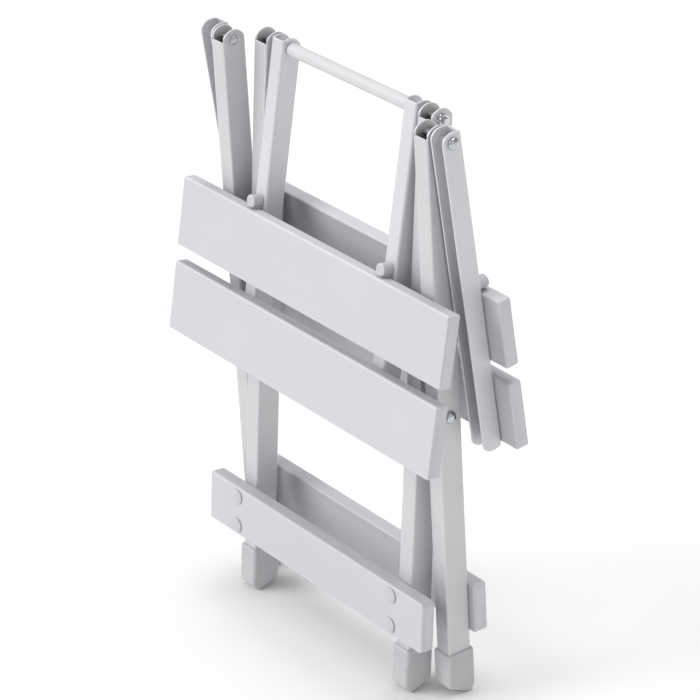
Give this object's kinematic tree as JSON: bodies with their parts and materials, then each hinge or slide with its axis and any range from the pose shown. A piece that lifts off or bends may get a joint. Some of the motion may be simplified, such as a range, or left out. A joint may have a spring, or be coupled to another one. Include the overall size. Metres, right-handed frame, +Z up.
{
  "type": "folding step stool",
  "caption": "Folding step stool, folded and standing: crossed tube leg frames, a slatted seat in hanging halves, crossbars and a rod handle.",
  "frame": {"origin": "on the floor under the middle of the folded stool", "axes": "+X along the slats, +Y from the near seat half to the far seat half, +Z up"},
  "size_m": [0.32, 0.0908, 0.4513],
  "materials": {
    "leg_tube": "satin anodised light grey",
    "seat_rail": "satin anodised light grey channel",
    "slat_plastic": "matt light grey, fine moulded grain",
    "foot_plastic": "matt grey",
    "button_cap": "smooth grey",
    "bumper_plastic": "smooth grey",
    "handle_paint": "pale grey powder coat on a rod",
    "zinc_steel": "bright zinc plate"
  },
  "bodies": {
    "scissor_pins": {"scissor_bolt_left": "zinc_steel", "scissor_bolt_right": "zinc_steel", "scissor_nut_left": "zinc_steel", "scissor_nut_right": "zinc_steel", "scissor_spacer_left": "bumper_plastic", "scissor_spacer_right": "bumper_plastic"},
    "inner_frame": {"inner_foot_left": "foot_plastic", "inner_foot_right": "foot_plastic", "inner_leg_left": "leg_tube", "inner_leg_right": "leg_tube", "near_crossbar": "slat_plastic", "near_crossbar_rivet_left_lower": "button_cap", "near_crossbar_rivet_left_upper": "button_cap", "near_crossbar_rivet_right_lower": "button_cap", "near_crossbar_rivet_right_upper": "button_cap", "near_pivot_bolt_left": "zinc_steel", "near_pivot_bolt_right": "zinc_steel"},
    "outer_frame": {"far_crossbar": "slat_plastic", "far_crossbar_rivet_left_lower": "button_cap", "far_crossbar_rivet_left_upper": "button_cap", "far_crossbar_rivet_right_lower": "button_cap", "far_crossbar_rivet_right_upper": "button_cap", "far_pivot_bolt_left": "zinc_steel", "far_pivot_bolt_right": "zinc_steel", "far_pivot_nut_left": "zinc_steel", "far_pivot_nut_right": "zinc_steel", "outer_foot_left": "foot_plastic", "outer_foot_right": "foot_plastic", "outer_leg_left": "leg_tube", "outer_leg_right": "leg_tube"},
    "near_seat": {"handle_rod": "handle_paint", "near_peg_left": "bumper_plastic", "near_peg_right": "bumper_plastic", "near_rail_left": "seat_rail", "near_rail_right": "seat_rail", "near_screw_left_lower_1": "zinc_steel", "near_screw_left_lower_2": "zinc_steel", "near_screw_left_upper_1": "zinc_steel", "near_screw_left_upper_2": "zinc_steel", "near_screw_right_lower_1": "zinc_steel", "near_screw_right_lower_2": "zinc_steel", "near_screw_right_upper_1": "zinc_steel", "near_screw_right_upper_2": "zinc_steel", "near_slat_lower": "slat_plastic", "near_slat_upper": "slat_plastic"},
    "far_seat": {"far_peg_left": "bumper_plastic", "far_peg_right": "bumper_plastic", "far_rail_left": "seat_rail", "far_rail_right": "seat_rail", "far_screw_left_lower_1": "zinc_steel", "far_screw_left_lower_2": "zinc_steel", "far_screw_left_upper_1": "zinc_steel", "far_screw_left_upper_2": "zinc_steel", "far_screw_right_lower_1": "zinc_steel", "far_screw_right_lower_2": "zinc_steel", "far_screw_right_upper_1": "zinc_steel", "far_screw_right_upper_2": "zinc_steel", "far_slat_lower": "slat_plastic", "far_slat_upper": "slat_plastic"}
  },
  "joints": [
    {"name": "inner_leg_swing", "type": "hinge", "parent": "scissor_pins", "child": "inner_frame", "pos_m": [0, 0, 0.22899], "axis": [-1, 0, 0], "range_deg": [0, 12]},
    {"name": "outer_leg_swing", "type": "hinge", "parent": "scissor_pins", "child": "outer_frame", "pos_m": [0, 0, 0.22899], "axis": [1, 0, 0], "range_deg": [0, 12]},
    {"name": "near_seat_lift", "type": "hinge", "parent": "inner_frame", "child": "near_seat", "pos_m": [0, 0.01085, 0.44321], "axis": [-1, 0, 0], "range_deg": [0, 69.21]},
    {"name": "far_seat_lift", "type": "hinge", "parent": "outer_frame", "child": "far_seat", "pos_m": [0, -0.01085, 0.44321], "axis": [1, 0, 0], "range_deg": [0, 69.21]}
  ],
  "couplings": [
    {"joint": "outer_leg_swing", "follows": "inner_leg_swing", "ratio": 1},
    {"joint": "near_seat_lift", "follows": "inner_leg_swing", "ratio": 5.7667},
    {"joint": "far_seat_lift", "follows": "inner_leg_swing", "ratio": 5.7667}
  ]
}
